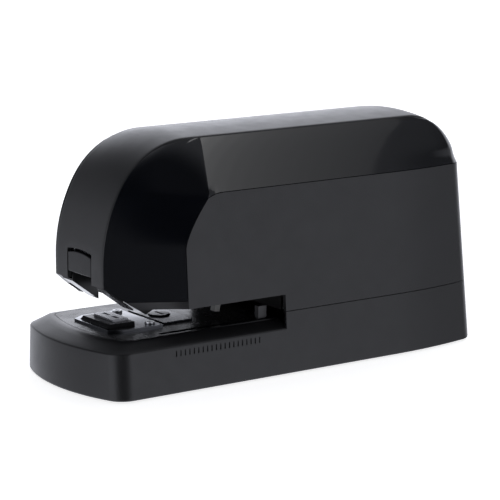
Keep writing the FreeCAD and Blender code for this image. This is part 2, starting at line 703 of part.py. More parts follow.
# ---- moving train -------------------------------------------------------------------
def gear_outline(teeth, phase):
    """Involute spur gear with 20 degree pressure angle and some backlash."""
    pitch_r = MODULE * teeth / 2
    base_r = pitch_r * math.cos(math.radians(20))
    tip_r = pitch_r + 0.75 * MODULE
    root_r = pitch_r - 1.25 * MODULE
    half_tooth = math.pi / (2 * teeth) - 0.07 / pitch_r

    def flank(radius):
        reach = math.sqrt(max((radius / base_r) ** 2 - 1, 0))
        return reach - math.atan(reach)
    at_pitch = flank(pitch_r)
    radii = [max(base_r, root_r) + share * (tip_r - max(base_r, root_r)) for share in (0, 0.35, 0.7, 1.0)]
    points = []
    for tooth in range(teeth):
        middle = phase + 2 * math.pi * tooth / teeth
        side = [(root_r, half_tooth + at_pitch)]
        side += [(radius, half_tooth + at_pitch - flank(radius)) for radius in radii]
        for radius, offset in side:
            points.append((radius * math.cos(middle - offset), radius * math.sin(middle - offset)))
        for radius, offset in reversed(side):
            points.append((radius * math.cos(middle + offset), radius * math.sin(middle + offset)))
    return points


def gear(teeth, axis, x0, x1, phase):
    outline = [(axis[0] + a, axis[1] + b) for a, b in gear_outline(teeth, phase)]
    return prism_x(outline, x0, x1)


def mesh_phases():
    """Phase of each toothed rim so that every pair meets tooth to gap at rest."""
    phases = []
    for angle in TRAIN_ANGLES:
        wheel = angle                                  # a wheel tooth points at the pinion
        pinion = angle + math.pi + math.pi / PINION_TEETH
        phases.append((wheel, pinion))
    return phases


DRIVE_MESH, SECOND_MESH, FIRST_MESH = mesh_phases()
DRIVE_PHASE, SECOND_PINION_PHASE = DRIVE_MESH
SECOND_PHASE, FIRST_PINION_PHASE = SECOND_MESH
FIRST_PHASE, MOTOR_PHASE = FIRST_MESH


def lightened(wheel, axis, x0, x1):
    for step in range(5):
        angle = 2 * math.pi * step / 5
        wheel = wheel.cut(rod_x(3.4, x0 - 1, x1 + 1, axis[0] + 11.5 * math.cos(angle),
                                axis[1] + 11.5 * math.sin(angle)))
    return wheel


def cam_outline():
    """Follower path with a steady rise, moved in by the roller's radius and a gap."""
    rise = (DRIVER_DROP * FOLLOWER_REACH / LEVER_REACH) / CAM_TURN
    inward = FOLLOWER_RADIUS + 0.45
    steps = 26
    points = []
    for step in range(steps + 1):
        turn = CAM_TURN * (1.06 * step / steps - 0.03)
        rho = CAM_REST + rise * turn
        angle = -math.pi / 2 - turn
        shift = inward / math.hypot(rho, rise)
        normal = (rho * math.cos(angle) - rise * math.sin(angle),
                  rho * math.sin(angle) + rise * math.cos(angle))
        points.append((rho * math.cos(angle) - shift * normal[0],
                       rho * math.sin(angle) - shift * normal[1]))
    return points


DRIVE_X = (13.6, 17.2)       # drive gear, next to the frame plate
SECOND_X = (18.2, 21.0)
FIRST_X = (21.4, 24.4)


def cam_shaft():
    return rod_x(2.5, -FRAME_X - FRAME_T - 1, OUTER_PLATE_X + 2.5, *CAM_AXIS)


def drive_gear():
    wheel = lightened(gear(WHEEL_TEETH, CAM_AXIS, *DRIVE_X, DRIVE_PHASE), CAM_AXIS, *DRIVE_X)
    return wheel.cut(rod_x(2.5, 0, 40, *CAM_AXIS))


def drive_cam():
    curve = Part.BSplineCurve()
    curve.interpolate([vec(-3.5, CAM_AXIS[0] + y, CAM_AXIS[1] + z) for y, z in cam_outline()])
    rim = curve.toShape()
    close = Part.LineSegment(rim.Vertexes[-1].Point, rim.Vertexes[0].Point).toShape()
    disc = Part.Face(Part.Wire([rim, close])).extrude(vec(7, 0, 0))
    hub = rod_x(5.2, -3.5, 3.5, *CAM_AXIS)
    return disc.fuse(hub).cut(rod_x(2.5, -20, 20, *CAM_AXIS)).removeSplitter()


def second_gear():
    wheel = lightened(gear(WHEEL_TEETH, SECOND_AXIS, *SECOND_X, SECOND_PHASE), SECOND_AXIS, *SECOND_X)
    pinion = gear(PINION_TEETH, SECOND_AXIS, DRIVE_X[0] - 0.1, SECOND_X[0], SECOND_PINION_PHASE)
    return wheel.fuse(pinion).cut(rod_x(AXLE_RADIUS + RUNNING, 0, 60, *SECOND_AXIS))


def first_gear():
    wheel = lightened(gear(WHEEL_TEETH, FIRST_AXIS, *FIRST_X, FIRST_PHASE), FIRST_AXIS, *FIRST_X)
    pinion = gear(PINION_TEETH, FIRST_AXIS, SECOND_X[0] - 0.1, FIRST_X[0], FIRST_PINION_PHASE)
    return wheel.fuse(pinion).cut(rod_x(AXLE_RADIUS + RUNNING, 0, 60, *FIRST_AXIS))


def gear_axles():
    second = rod_x(AXLE_RADIUS, FRAME_X, OUTER_PLATE_X + 1.5, *SECOND_AXIS)
    first = rod_x(AXLE_RADIUS, SECOND_X[0] - 0.5, OUTER_PLATE_X + 1.5, *FIRST_AXIS)
    return group([second, first])


MOTOR_X0 = -19.4
MOTOR_X1 = 19.4
SHAFT_RADIUS = 1.0


def motor():
    """Small direct-current motor: drawn can with two flats, and a boss round its shaft."""
    y, z = MOTOR_AXIS
    can = rod_x(MOTOR_RADIUS, MOTOR_X0, MOTOR_X1, y, z)
    can = can.common(box(-60, 60, y - 20, y + 20, z - 11.6, z + 11.6))
    boss = rod_x(5.0, MOTOR_X1, FIRST_X[0] - 0.4, y, z)
    return can.fuse(boss).cut(rod_x(SHAFT_RADIUS + RUNNING, MOTOR_X1 - 20, MOTOR_X1 + 5, y, z))


def motor_shaft():
    return rod_x(SHAFT_RADIUS, MOTOR_X1 - 19, OUTER_PLATE_X - 0.4, *MOTOR_AXIS)


def motor_pinion():
    pinion = gear(PINION_TEETH, MOTOR_AXIS, FIRST_X[0] + 0.1, FIRST_X[1] + 0.6, MOTOR_PHASE)
    return pinion.cut(rod_x(SHAFT_RADIUS, 0, 60, *MOTOR_AXIS))


def along_lever(reach, rise=0.0):
    """Point (y, z) at a distance from the pivot along the lever at rest."""
    cos, sin = math.cos(LEVER_TILT), math.sin(LEVER_TILT)
    return (LEVER_PIVOT[0] - reach * cos + rise * sin, LEVER_PIVOT[1] + reach * sin + rise * cos)


def drive_lever():
    """Two arms bridged behind the pivot; slots in front pull the driver down."""
    reach = LEVER_REACH / math.cos(LEVER_TILT)
    outline = [along_lever(-7, -5), along_lever(-7, 5), along_lever(reach + 4, 4), along_lever(reach + 4, -4)]
    arm = prism_x(outline, 7.6, 9.2)
    slot = prism_x([along_lever(reach - 3.0, 1.85), along_lever(reach + 3.0, 1.85),
                    along_lever(reach + 3.0, -1.85), along_lever(reach - 3.0, -1.85)], 5, 12)
    arm = arm.cut(slot)
    bridge = prism_x([along_lever(-7, -5), along_lever(-7, 5), along_lever(-4.6, 5), along_lever(-4.6, -5)],
                     -9.2, 9.2)
    lever = join(both_sides(arm) + [bridge])
    lever = lever.cut(rod_x(2.0, -30, 30, *LEVER_PIVOT))
    return lever.cut(rod_x(1.5, -30, 30, *along_lever(FOLLOWER_REACH)))


def lever_shaft():
    return rod_x(2.0, -FRAME_X - FRAME_T - 0.6, FRAME_X + FRAME_T + 0.6, *LEVER_PIVOT)


def cam_roller():
    place = along_lever(FOLLOWER_REACH)
    return rod_x(FOLLOWER_RADIUS, -4.2, 4.2, *place).cut(rod_x(1.5, -10, 10, *place))


def roller_pin():
    return rod_x(1.5, -9.8, 9.8, *along_lever(FOLLOWER_REACH))


DRIVER_PIN_Z = LEVER_PIVOT[1] + LEVER_REACH * math.tan(LEVER_TILT)


def driver_holder():
    block = box(-6.0, 6.0, STAPLE_Y - 3.2, STAPLE_Y + 3.2, DRIVER_PIN_Z - 9, DRIVER_PIN_Z + 3.2)
    block = block.cut(rod_x(1.5, -10, 10, STAPLE_Y, DRIVER_PIN_Z))
    return block.cut(box(-6.3, 6.3, STAPLE_Y - 0.35, STAPLE_Y + 0.35, 50, DRIVER_PIN_Z - 2.5))


BLADE_LOW_Z = HEAD_LOW_Z + 9.3


def driver_blade():
    return box(-6.2, 6.2, STAPLE_Y - 0.3, STAPLE_Y + 0.3, BLADE_LOW_Z, DRIVER_PIN_Z - 2.6)


def driver_pin():
    return rod_x(1.5, -9.8, 9.8, STAPLE_Y, DRIVER_PIN_Z)


# ---- staple head and its drawer -----------------------------------------------------
HEAD_BACK_Y = -38.5
HEAD_HALF = 10.2
HEAD_TOP_Z = HEAD_LOW_Z + 12.2
DRAWER_HALF = 8.6
DRAWER_Z0 = HEAD_LOW_Z + 1.4


def head_frame():
    """Steel channel that carries the drawer down on to the paper."""
    z0 = HEAD_LOW_Z + 0.2
    outer = box(-HEAD_HALF, HEAD_HALF, -95.0, HEAD_BACK_Y, z0, HEAD_TOP_Z)
    inner = box(-HEAD_HALF + 1.1, HEAD_HALF - 1.1, -96, HEAD_BACK_Y - 1.1, z0 + 1.0, HEAD_TOP_Z + 1)
    channel = outer.cut(inner)
    channel = channel.cut(box(-6.8, 6.8, -96, STAPLE_Y + 0.8, z0 - 1, z0 + 2))
    bridge = box(-HEAD_HALF, HEAD_HALF, -60.0, -48.0, HEAD_TOP_Z - 1.0, HEAD_TOP_Z)
    return channel.fuse(bridge).removeSplitter()


def head_spring():
    """Tension spring that lifts the head again, hooked on the frame's second cross bar."""
    y, z = CROSS_BARS[1]
    return coil_z(3.0, 0.45, 0, y, HEAD_TOP_Z + 0.2, z - 2.6, 12)


DRAWER_FRONT_Z = HEAD_LOW_Z + 10.3


def drawer_front():
    """Rounded plate seen in the nose; its back holds the drawer's channel."""
    face = arched_face(MOUTH_HALF_WIDTH - 0.5, HEAD_LOW_Z, DRAWER_FRONT_Z, NOSE_FRONT_Y)
    return face.extrude(vec(0, 2.4, 0))


def drawer_channel():
    """Open steel trough behind the drawer front; the staples ride on its inner rail."""
    y0 = NOSE_FRONT_Y + 2.4
    y1 = HEAD_BACK_Y - 1.6
    z1 = DRAWER_Z0 + 8.2
    outer = box(-DRAWER_HALF, DRAWER_HALF, y0, y1, DRAWER_Z0, z1)
    inner = box(-DRAWER_HALF + 1.0, DRAWER_HALF - 1.0, y0 - 1, y1 - 1.0, DRAWER_Z0 + 0.9, z1 + 1)
    return outer.cut(inner).cut(box(-6.8, 6.8, y0 + 2, STAPLE_Y + 3.0, DRAWER_Z0 - 1, DRAWER_Z0 + 2))


def staple_rail():
    return box(-5.6, 5.6, STAPLE_Y + 0.9, HEAD_BACK_Y - 2.7, DRAWER_Z0 + 1.0, DRAWER_Z0 + 6.2)


STRIP_LENGTH = 26.0


def staple_strip():
    """Fifty glued staples: crown on top, legs down both sides of the rail."""
    y0 = STAPLE_Y + 0.4
    y1 = y0 + STRIP_LENGTH
    strip = box(-6.4, 6.4, y0, y1, DRAWER_Z0 + 1.1, DRAWER_Z0 + 7.1)
    strip = strip.cut(box(-5.9, 5.9, y0 - 1, y1 + 1, DRAWER_Z0 + 1, DRAWER_Z0 + 6.5))
    for step in range(1, 25):
        y = y0 + step * STRIP_LENGTH / 25
        strip = strip.cut(box(-7, 7, y - 0.08, y + 0.08, DRAWER_Z0 + 6.95, DRAWER_Z0 + 8))
    return strip


def staple_pusher():
    y0 = STAPLE_Y + STRIP_LENGTH + 0.5
    block = box(-6.9, 6.9, y0, y0 + 6.5, DRAWER_Z0 + 1.2, DRAWER_Z0 + 7.6)
    return block.cut(box(-5.9, 5.9, y0 - 1, y0 + 9, DRAWER_Z0, DRAWER_Z0 + 6.5))


# ---- controls and electrics ---------------------------------------------------------
TRIGGER_AXIS = (-31.0, 44.5)
TRIGGER_X = 17.5
TRIGGER_HALF = 1.8


def paper_trigger():
    """Light tongue hanging in the throat; the paper swings it back to start a cycle."""
    y, z = TRIGGER_AXIS
    x0, x1 = TRIGGER_X - TRIGGER_HALF, TRIGGER_X + TRIGGER_HALF
    tongue = prism_x([(y - 1.4, z), (y - 4.6, 30.2), (y - 1.8, 29.8), (y + 1.8, z)], x0, x1)
    flag = box(x0, x1, y - 0.8, y + 0.8, z, z + 6)
    return join([tongue, rod_x(2.2, x0, x1, y, z), flag]).cut(rod_x(1.05, 0, 30, y, z))


def trigger_bracket():
    """Two ears on the throat ceiling with the trigger's fixed pin between them."""
    y, z = TRIGGER_AXIS
    base = THROAT_TOP_Z + 1.8
    pieces = [rod_x(1.0, TRIGGER_X - 3.4, TRIGGER_X + 3.4, y, z)]
    for x in (TRIGGER_X - 3.4, TRIGGER_X + 2.4):
        pieces.append(box(x, x + 1.0, y - 3, y + 3, base, z + 3))
    pieces.append(box(TRIGGER_X + 2.4, TRIGGER_X + 6, y - 3, y + 3, base, base + 1))
    return join(pieces)


def trigger_switch():
    y, z = TRIGGER_AXIS
    body = box(TRIGGER_X - 2.5, TRIGGER_X + 2.5, y - 11.5, y - 4.4, z + 1.5, z + 8)
    return body.fuse(box(TRIGGER_X - 0.8, TRIGGER_X + 0.8, y - 4.4, y - 3.7, z + 4, z + 6))


BUTTON_Z = 72.0
BUTTON_RADIUS = 6.1
BUTTON_FLANGE_Y = 99.6


def release_button():
    """Round push button at the back that unlatches the drawer."""
    button = rod_y(BUTTON_RADIUS, BUTTON_FLANGE_Y, 110.0, 0, BUTTON_Z)
    button = button.fuse(rod_y(7.4, BUTTON_FLANGE_Y, BUTTON_FLANGE_Y + 1.4, 0, BUTTON_Z))
    return button.cut(rod_y(2.4, 94, 106.5, 0, BUTTON_Z)).removeSplitter()


def button_housing():
    """Guide tube behind the button, with the post that its spring sits on."""
    tube = rod_y(9.4, 91.0, 103.8, 0, BUTTON_Z).cut(rod_y(8.0, 93.0, 105, 0, BUTTON_Z))
    return tube.fuse(rod_y(1.9, 92.0, 102.0, 0, BUTTON_Z)).removeSplitter()


ROCKER_Y = 105.5
ROCKER_Z = 53.5


def power_switch_body():
    body = box(-6.5, 6.5, 96.0, 108.0, ROCKER_Z - 3.2, ROCKER_Z + 3.2)
    return body.cut(box(-5.6, 5.6, ROCKER_Y - 2.4, 110, ROCKER_Z - 2.5, ROCKER_Z + 2.5))


def power_rocker():
    """Rocker turning about an upright axis, one end standing proud when off."""
    outline = [(-4.8, 3.4), (0, 1.7), (4.8, 2.0), (4.8, -0.4), (0, -1.9), (-4.8, -0.4)]
    rocker = prism_z([(x, ROCKER_Y + y) for x, y in outline], ROCKER_Z - 2.1, ROCKER_Z + 2.1)
    return rocker.fuse(rod_z(1.0, ROCKER_Z - 2.4, ROCKER_Z + 2.4, 0, ROCKER_Y))


def dc_socket():
    """Socket for a barrel plug, behind the round hole at the back of the base."""
    body = box(DC_X - 4.8, DC_X + 4.8, 94.0, 107.6, DC_Z - 4.6, DC_Z + 4.6)
    body = body.cut(rod_y(3.1, 98.0, 110, DC_X, DC_Z))
    return body.fuse(rod_y(1.0, 97.0, 106.0, DC_X, DC_Z)).removeSplitter()


def circuit_board():
    """Board on four legs with its relay, capacitor and motor driver."""
    top = CHASSIS_Z + 6.0
    board = box(-34, -21, 40, 90, top - 1.6, top)
    legs = [rod_z(1.6, CHASSIS_Z + 1.5, top - 1.6, x, y) for x in (-31, -24) for y in (44, 80)]
    relay = box(-33, -22, 46, 61, top, top + 11)
    capacitor = rod_z(4.6, top, top + 13, -27.5, 70)
    driver = box(-31, -23, 79, 86, top, top + 3)
    return join([board, relay, capacitor, driver] + legs)


def main():
    os.makedirs("parts", exist_ok=True)
    cap, gloss, side = upper_shells()
    gloss = biggest(gloss)
    side = biggest(side)
    plate = frame_plate()
    parts = {
        "base_shell": scale_marks(base_shell()),
        "bottom_cover": bottom_cover(),
        "rubber_feet": rubber_feet(),
        "pan_head_screws": pan_head_screws(),
        "battery_door": battery_door(),
        "battery_tray": battery_tray(),
        "batteries": batteries(),
        "battery_contacts": battery_contacts(),
        "paper_deck": paper_deck(),
        "anvil_plate": anvil_plate(),
        "anvil_block": anvil_block(),
        "clinch_anvil": clinch_anvil(),
        "rear_deck_plate": rear_deck_plate(),
        "deck_button": deck_button(),
        "depth_guide": depth_guide(),
        "top_cap": biggest(cap),
        "right_cheek": gloss,
        "left_cheek": mirrored(gloss),
        "right_side_panel": side,
        "left_side_panel": mirrored(side),
        "right_frame_plate": right_frame_plate(),
        "left_frame_plate": mirrored(plate),
        "outer_gear_plate": outer_gear_plate(),
        "motor_bracket": motor_bracket(),
        "frame_spacers": frame_spacers(),
        "chassis_plate": chassis_plate(),
        "throat_liner": throat_liner(),
        "head_guides": group(both_sides(head_guide())),
        "cam_shaft": cam_shaft(),
        "drive_gear": drive_gear(),
        "drive_cam": drive_cam(),
        "second_gear": second_gear(),
        "first_gear": first_gear(),
        "gear_axles": gear_axles(),
        "motor": motor(),
        "motor_shaft": motor_shaft(),
        "motor_pinion": motor_pinion(),
        "drive_lever": drive_lever(),
        "lever_shaft": lever_shaft(),
        "cam_roller": cam_roller(),
        "roller_pin": roller_pin(),
        "driver_holder": driver_holder(),
        "driver_blade": driver_blade(),
        "driver_pin": driver_pin(),
        "head_frame": head_frame(),
        "head_spring": head_spring(),
        "drawer_front": drawer_front(),
        "drawer_channel": drawer_channel(),
        "staple_rail": staple_rail(),
        "staple_strip": staple_strip(),
        "staple_pusher": staple_pusher(),
        "paper_trigger": paper_trigger(),
        "trigger_bracket": trigger_bracket(),
        "trigger_switch": trigger_switch(),
        "release_button": release_button(),
        "button_housing": button_housing(),
        "power_rocker": power_rocker(),
        "power_switch_body": power_switch_body(),
        "dc_socket": dc_socket(),
        "circuit_board": circuit_board(),
    }
    for name, shape in parts.items():
        save(name, shape)
        state = "ok" if shape.isValid() else "INVALID"
        box_of = shape.BoundBox
        print("%-18s %2d solids %8.1f mm3 %s z %.1f..%.1f" % (
            name, len(shape.Solids), shape.Volume, state, box_of.ZMin, box_of.ZMax))


main()
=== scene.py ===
"""Looks of the electric stapler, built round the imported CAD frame."""
import json
import math

import bmesh
import bpy
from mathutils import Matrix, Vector

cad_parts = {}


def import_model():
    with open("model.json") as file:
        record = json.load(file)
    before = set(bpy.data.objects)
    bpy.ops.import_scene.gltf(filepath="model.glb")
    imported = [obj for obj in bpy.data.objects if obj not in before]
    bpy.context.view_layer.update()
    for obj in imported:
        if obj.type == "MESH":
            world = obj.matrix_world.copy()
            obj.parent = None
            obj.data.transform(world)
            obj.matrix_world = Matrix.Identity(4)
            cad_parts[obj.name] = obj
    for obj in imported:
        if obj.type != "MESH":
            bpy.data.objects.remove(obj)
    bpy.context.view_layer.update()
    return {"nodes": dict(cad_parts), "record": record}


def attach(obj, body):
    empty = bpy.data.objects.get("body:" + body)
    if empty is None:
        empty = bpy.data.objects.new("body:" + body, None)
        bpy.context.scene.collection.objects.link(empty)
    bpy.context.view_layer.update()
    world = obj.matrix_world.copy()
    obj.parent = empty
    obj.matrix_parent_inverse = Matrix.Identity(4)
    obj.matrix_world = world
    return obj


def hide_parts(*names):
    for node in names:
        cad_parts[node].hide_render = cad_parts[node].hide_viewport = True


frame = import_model()
nodes = frame["nodes"]
MM = 0.001

# ---- driving dimensions, in millimetres, as in the CAD source ------------------------
HALF_LENGTH = 112.0
HALF_WIDTH = 43.4
DRAFT = 0.0647
FOOT_Z = 0.8
SHELL = 2.2                  # wall thickness of the outer shells
SEAM = 0.16                  # half the gap between two outer shells
RIM_Z = 22.7                 # top of the base's outer wall in front
DECK_Z = 26.8
PARTING_Z = 30.7
THROAT_TOP_Z = 39.0
THROAT_END_Y = -9.5
DECK_HALF = 34.5             # paper deck, inside the rim
DECK_FRONT_Y = -99.0
DECK_GAP = 0.2
DECK_CORNER_X = 28.6
CAP_HALF = 21.6
CAP_TOP_Z = 115.1
CAP_CROWN = 1.9
NOSE_Y = -98.1
NOSE_STRAIGHT_Z = 58.0
NOSE_LOW_Z = 49.1
NOSE_RADIUS = 72.0
NOSE_TURN = math.radians(30)
NOSE_KNEE = (-81.3, 36.6)
REAR_RADIUS = 26.0
STRIP_Z = 91.0
VERTEX = (-51.0, 89.0)
CREASE_TOP_Y = -44.7
CHEEK_BACK_Y = -64.3
MOUTH_HALF = 10.9
MOUTH_TOP_Z = 63.3
MOUTH_ARCH = 1.2
CAP_EDGE = 1.3               # rounding of the cap's long side edges
LEG_CHAMFER = 1.3            # how far the matte run under the cheek leans in
STRIP_SINK = 0.5             # how far the glossy strip lies below the cap on top
MATTE_Z = 42.6               # the matte panel runs forward under the glossy cheek to this height
BUTTON_Z = 72.0              # round release button at the back
BUTTON_HOLE_RADIUS = 6.45
BUTTON_PATCH = (65.4, 78.6)  # heights of the square wall patch round its hole
REAR_HOLE_HALF = 6.8
ROCKER_HOLE = (57.0, 50.0)   # top and bottom of the rocker's hole
TAPER_Y = 58.0
TAPER_RADIUS = 221.0
REAR_CORNER = 10.0
BOW_RADIUS = 100.6
FRONT_CORNER = 10.4
MARK_COUNT = 20
MARK_PITCH = 2.45
MARK_Y = -72.0
MARK_Z = 19.4
MARK_WIDTH = 0.75
MARK_HEIGHT = 2.8
MARK_DEPTH = 0.45


# ---- mesh helpers ----------------------------------------------------------------------
class Skin:
    """Grids of points that become one mesh; grids that share border points are joined."""

    def __init__(self):
        self.points = []
        self.faces = []

    def grid(self, rows, keep=None):
        start = len(self.points)
        width = len(rows[0])
        for row in rows:
            self.points += row
        for i in range(len(rows) - 1):
            for j in range(width - 1):
                if keep is None or keep(i, j):
                    corner = start + i * width + j
                    self.faces.append((corner, corner + 1, corner + width + 1, corner + width))

    def piece(self, name, side=1, middle=(0, 0, 60)):
        """Makes the object; side -1 mirrors it across X. Normals point away from middle."""
        made = bmesh.new()
        corners = [made.verts.new((side * x * MM, y * MM, z * MM)) for x, y, z in self.points]
        for face in self.faces:
            made.faces.new([corners[index] for index in face])
        bmesh.ops.remove_doubles(made, verts=made.verts, dist=0.02 * MM)
        bmesh.ops.dissolve_degenerate(made, edges=made.edges, dist=0.01 * MM)
        bmesh.ops.delete(made, geom=[v for v in made.verts if not v.link_faces], context="VERTS")
        bmesh.ops.recalc_face_normals(made, faces=made.faces)
        centre = Vector(middle) * MM
        facing = sum(f.normal.dot(f.calc_center_median() - centre) * f.calc_area() for f in made.faces)
        if facing < 0:
            bmesh.ops.reverse_faces(made, faces=made.faces)
        mesh = bpy.data.meshes.new(name)
        made.to_mesh(mesh)
        made.free()
        obj = bpy.data.objects.new(name, mesh)
        bpy.context.scene.collection.objects.link(obj)
        return obj


def rounded(obj, width, angle=38, segments=3):
    """Rounded edges and even shading on a finished form."""
    bevel = obj.modifiers.new("edges", "BEVEL")
    bevel.width = width * MM
    bevel.segments = segments
    bevel.limit_method = "ANGLE"
    bevel.angle_limit = math.radians(angle)
    bevel.use_clamp_overlap = True
    obj.data.shade_smooth()
    obj.data.set_sharp_from_angle(angle=math.radians(angle))
    even = obj.modifiers.new("shading", "WEIGHTED_NORMAL")
    even.keep_sharp = True


def shelled(obj, thickness=SHELL, edge=0.35):
    wall = obj.modifiers.new("wall", "SOLIDIFY")
    wall.thickness = thickness * MM
    wall.offset = -1
    wall.use_even_offset = True
    rounded(obj, edge, angle=50)


def finish_piece(obj, material, node, body="root"):
    obj.data.materials.append(material)
    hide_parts(node)
    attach(obj, body)


def blend(start, end, share):
    return tuple(a + (b - a) * share for a, b in zip(start, end))


def spread(start, end, count):
    return [start + (end - start) * step / (count - 1) for step in range(count)]


# ---- outer form ------------------------------------------------------------------------
KNEE_Y = NOSE_Y + NOSE_RADIUS - NOSE_RADIUS * math.cos(NOSE_TURN)
KNEE_Z = NOSE_STRAIGHT_Z + NOSE_RADIUS * math.sin(NOSE_TURN)
REAR_CENTRE_Y = HALF_LENGTH - DRAFT * 89 - REAR_RADIUS


def brow_radius(rise):
    return (CAP_TOP_Z + rise - KNEE_Z) / (1 - math.sin(NOSE_TURN))


def spine_front(z):
    """Y of the cap's front at height z."""
    if z <= NOSE_STRAIGHT_Z:
        return NOSE_Y
    if z <= KNEE_Z:
        return NOSE_Y + NOSE_RADIUS - math.sqrt(NOSE_RADIUS ** 2 - (z - NOSE_STRAIGHT_Z) ** 2)
    radius = brow_radius(0)
    rise = min(z, CAP_TOP_Z) - (CAP_TOP_Z - radius)
    return KNEE_Y + radius * math.cos(NOSE_TURN) - math.sqrt(radius ** 2 - rise ** 2)


def tail_y(z):
    """Y of the back at height z, on the upright wall or the rear arc."""
    wall = HALF_LENGTH - DRAFT * z
    rise = z - (CAP_TOP_Z - REAR_RADIUS)    # height above the start of the rear arc
    if rise <= 0:
        return wall
    return REAR_CENTRE_Y + math.sqrt(max(REAR_RADIUS ** 2 - rise ** 2, 0))


def cheek_back(z):
    """Y where the cheek ends at height z: side panel below the vertex, crease above."""
    if z <= 67:
        return CHEEK_BACK_Y
    if z <= VERTEX[1]:
        share = (z - 67) / (VERTEX[1] - 67)
        return CHEEK_BACK_Y + (VERTEX[0] - CHEEK_BACK_Y) * share ** 1.4
    share = (z - VERTEX[1]) / (CAP_TOP_Z - VERTEX[1])
    return VERTEX[0] + (CREASE_TOP_Y - VERTEX[0]) * share


def side_x(z):
    if z <= STRIP_Z:
        return HALF_WIDTH - DRAFT * z
    shoulder = HALF_WIDTH - DRAFT * STRIP_Z
    return shoulder + (CAP_HALF - shoulder) * (z - STRIP_Z) / (CAP_TOP_Z - STRIP_Z)


def strip_low(y):
    """Lower edge of the glossy strip, which dips to the vertex in front."""
    share = min(max((y - VERTEX[0]) / 7, 0), 1)
    return VERTEX[1] + (STRIP_Z - VERTEX[1]) * math.sin(share * math.pi / 2)


def rear_corner(half, back, radius, end_x, count):
    """Plan from the side's taper round the rear corner to end_x."""
    radius = max(min(radius, (half - end_x) * 0.95), 0.01)
    end_y = back - 0.84 * radius
    slope = math.asin(max(end_y - TAPER_Y, 0) / TAPER_RADIUS)
    taper_x = half - TAPER_RADIUS * (1 - math.cos(slope))
    taper_x = max(taper_x, end_x + radius)
    plan = []
    for angle in spread(0, slope, 6):
        share = (1 - math.cos(angle)) / max(1 - math.cos(slope), 1e-9)
        plan.append((half - (half - taper_x) * share, TAPER_Y + TAPER_RADIUS * math.sin(angle)))
    for angle in spread(slope, math.radians(86), count)[1:]:
        centre = (taper_x - radius * math.cos(slope), end_y - radius * math.sin(slope))
        plan.append((centre[0] + radius * math.cos(angle), centre[1] + radius * math.sin(angle)))
    last = plan[-1]
    for share in (0.35, 0.7, 1.0):
        x = last[0] + (end_x - last[0]) * share
        plan.append((x, last[1] + (back - last[1]) * math.sin(share * math.pi / 2)))
    return plan


# ---- materials -------------------------------------------------------------------------
def material(name, colour, rough, metal=0.0, grain=(900, 0.2, 0.04), mottle=0.12,
             edge_highlight=0.0, spec=0.5, coat=0.0, brush=None, gloss_change=0.08):
    """Procedural finish. grain is (scale per metre, strength, depth in mm). Convex edges can be painted
    lighter as a painted edge highlight.
    """
    made = bpy.data.materials.new(name)
    made.use_nodes = True
    tree = made.node_tree
    shader = tree.nodes["Principled BSDF"]
    shader.inputs["Metallic"].default_value = metal
    shader.inputs["Specular IOR Level"].default_value = spec
    shader.inputs["Coat Weight"].default_value = coat
    shader.inputs["Coat Roughness"].default_value = 0.06
    place = tree.nodes.new("ShaderNodeTexCoord")
    stretch = tree.nodes.new("ShaderNodeMapping")
    tree.links.new(place.outputs["Object"], stretch.inputs["Vector"])
    if brush:
        stretch.inputs["Scale"].default_value = brush

    def noise(scale, detail):
        node = tree.nodes.new("ShaderNodeTexNoise")
        node.inputs["Scale"].default_value = scale
        node.inputs["Detail"].default_value = detail
        tree.links.new(stretch.outputs["Vector"], node.inputs["Vector"])
        return node

    def ramp(source, low, high, stops=(0.3, 0.7)):
        node = tree.nodes.new("ShaderNodeValToRGB")
        for element, place_at, value in zip(node.color_ramp.elements, stops, (low, high)):
            element.position = place_at
            element.color = (*value, 1)
        tree.links.new(source, node.inputs["Fac"])
        return node

    cloudy = noise(38, 3)
    dark = tuple(c * (1 - mottle) for c in colour)
    light = tuple(c * (1 + mottle) for c in colour)
    tint = ramp(cloudy.outputs["Fac"], dark, light).outputs["Color"]
    # Painted highlight: convex edges, found by pointiness, are painted lighter in the base colour, standing
    # in for light caught on rounded edges.
    if edge_highlight:
        ridge = tree.nodes.new("ShaderNodeNewGeometry")
        edge = ramp(ridge.outputs["Pointiness"], (0, 0, 0), (edge_highlight, edge_highlight, edge_highlight), (0.53, 0.62))
        edge_highlight_mix = tree.nodes.new("ShaderNodeMixRGB")
        edge_highlight_mix.inputs["Color2"].default_value = (*(min(c * 2 + 0.06, 1) for c in colour), 1)
        tree.links.new(edge.outputs["Color"], edge_highlight_mix.inputs["Fac"])
        tree.links.new(tint, edge_highlight_mix.inputs["Color1"])
        tint = edge_highlight_mix.outputs["Color"]
    tree.links.new(tint, shader.inputs["Base Color"])
    smudge = noise(140, 4)
    low, high = max(rough - gloss_change, 0.03), min(rough + gloss_change, 1.0)
    gloss = ramp(smudge.outputs["Fac"], (low,) * 3, (high,) * 3)
    tree.links.new(gloss.outputs["Color"], shader.inputs["Roughness"])
    scale, strength, depth = grain
    fine = noise(scale, 2)
    bump = tree.nodes.new("ShaderNodeBump")
    bump.inputs["Strength"].default_value = strength
    bump.inputs["Distance"].default_value = depth * MM
    tree.links.new(fine.outputs["Fac"], bump.inputs["Height"])
    tree.links.new(bump.outputs["Normal"], shader.inputs["Normal"])
    return made


